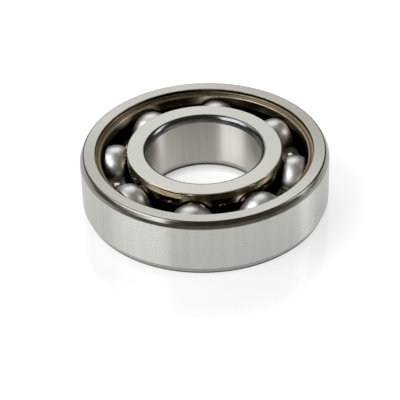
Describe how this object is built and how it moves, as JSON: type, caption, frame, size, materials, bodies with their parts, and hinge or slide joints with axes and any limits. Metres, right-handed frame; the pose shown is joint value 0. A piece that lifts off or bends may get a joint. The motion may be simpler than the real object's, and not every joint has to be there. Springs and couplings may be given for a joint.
{
  "type": "deep groove ball bearing",
  "caption": "Open single-row ball bearing: inner and outer ring, balls in deep grooves, and a pressed and riveted ribbon cage.",
  "frame": {"origin": "centre of the bearing: on its axis, midway between the side faces", "axes": "+Z along the bearing axis, square to the side faces; +X and +Y across it. Ball 1 stands 36.3 degrees from +X towards +Y"},
  "size_m": [0.11, 0.11, 0.027],
  "materials": {
    "outer_ring_steel": "ground side faces and outside, dark brown heat-treated corners and recesses, polished raceway",
    "inner_ring_steel": "ground side faces and bore, polished shoulders and raceway, rounded dark bore corners",
    "ball_steel": "mirror polished",
    "cage_steel": "satin pressed sheet",
    "rivet_steel": "bright upset heads"
  },
  "bodies": {
    "outer_ring": {"outer_ring": "outer_ring_steel"},
    "inner_ring": {"inner_ring": "inner_ring_steel"},
    "cage": {"cage_upper": "cage_steel", "cage_lower": "cage_steel", "rivet_1": "rivet_steel", "rivet_2": "rivet_steel", "rivet_3": "rivet_steel", "rivet_4": "rivet_steel", "rivet_5": "rivet_steel", "rivet_6": "rivet_steel", "rivet_7": "rivet_steel", "rivet_8": "rivet_steel"},
    "ball_1": {"ball_1": "ball_steel"},
    "ball_2": {"ball_2": "ball_steel"},
    "ball_3": {"ball_3": "ball_steel"},
    "ball_4": {"ball_4": "ball_steel"},
    "ball_5": {"ball_5": "ball_steel"},
    "ball_6": {"ball_6": "ball_steel"},
    "ball_7": {"ball_7": "ball_steel"},
    "ball_8": {"ball_8": "ball_steel"}
  },
  "joints": [
    {"name": "inner_ring_spin", "type": "hinge", "parent": "outer_ring", "child": "inner_ring", "pos_m": [0, 0, 0], "axis": [0, 0, 1], "continuous": true},
    {"name": "cage_orbit", "type": "hinge", "parent": "outer_ring", "child": "cage", "pos_m": [0, 0, 0], "axis": [0, 0, 1], "continuous": true},
    {"name": "ball_1_roll", "type": "hinge", "parent": "cage", "child": "ball_1", "pos_m": [0.03224, 0.02368, 0], "axis": [0, 0, 1], "continuous": true},
    {"name": "ball_2_roll", "type": "hinge", "parent": "cage", "child": "ball_2", "pos_m": [0.00605, 0.03954, 0], "axis": [0, 0, 1], "continuous": true},
    {"name": "ball_3_roll", "type": "hinge", "parent": "cage", "child": "ball_3", "pos_m": [-0.02368, 0.03224, 0], "axis": [0, 0, 1], "continuous": true},
    {"name": "ball_4_roll", "type": "hinge", "parent": "cage", "child": "ball_4", "pos_m": [-0.03954, 0.00605, 0], "axis": [0, 0, 1], "continuous": true},
    {"name": "ball_5_roll", "type": "hinge", "parent": "cage", "child": "ball_5", "pos_m": [-0.03224, -0.02368, 0], "axis": [0, 0, 1], "continuous": true},
    {"name": "ball_6_roll", "type": "hinge", "parent": "cage", "child": "ball_6", "pos_m": [-0.00605, -0.03954, 0], "axis": [0, 0, 1], "continuous": true},
    {"name": "ball_7_roll", "type": "hinge", "parent": "cage", "child": "ball_7", "pos_m": [0.02368, -0.03224, 0], "axis": [0, 0, 1], "continuous": true},
    {"name": "ball_8_roll", "type": "hinge", "parent": "cage", "child": "ball_8", "pos_m": [0.03954, -0.00605, 0], "axis": [0, 0, 1], "continuous": true}
  ],
  "couplings": [
    {"joint": "cage_orbit", "follows": "inner_ring_spin", "ratio": 0.39086},
    {"joint": "ball_1_roll", "follows": "inner_ring_spin", "ratio": -2.1815},
    {"joint": "ball_2_roll", "follows": "inner_ring_spin", "ratio": -2.1815},
    {"joint": "ball_3_roll", "follows": "inner_ring_spin", "ratio": -2.1815},
    {"joint": "ball_4_roll", "follows": "inner_ring_spin", "ratio": -2.1815},
    {"joint": "ball_5_roll", "follows": "inner_ring_spin", "ratio": -2.1815},
    {"joint": "ball_6_roll", "follows": "inner_ring_spin", "ratio": -2.1815},
    {"joint": "ball_7_roll", "follows": "inner_ring_spin", "ratio": -2.1815},
    {"joint": "ball_8_roll", "follows": "inner_ring_spin", "ratio": -2.1815}
  ]
}
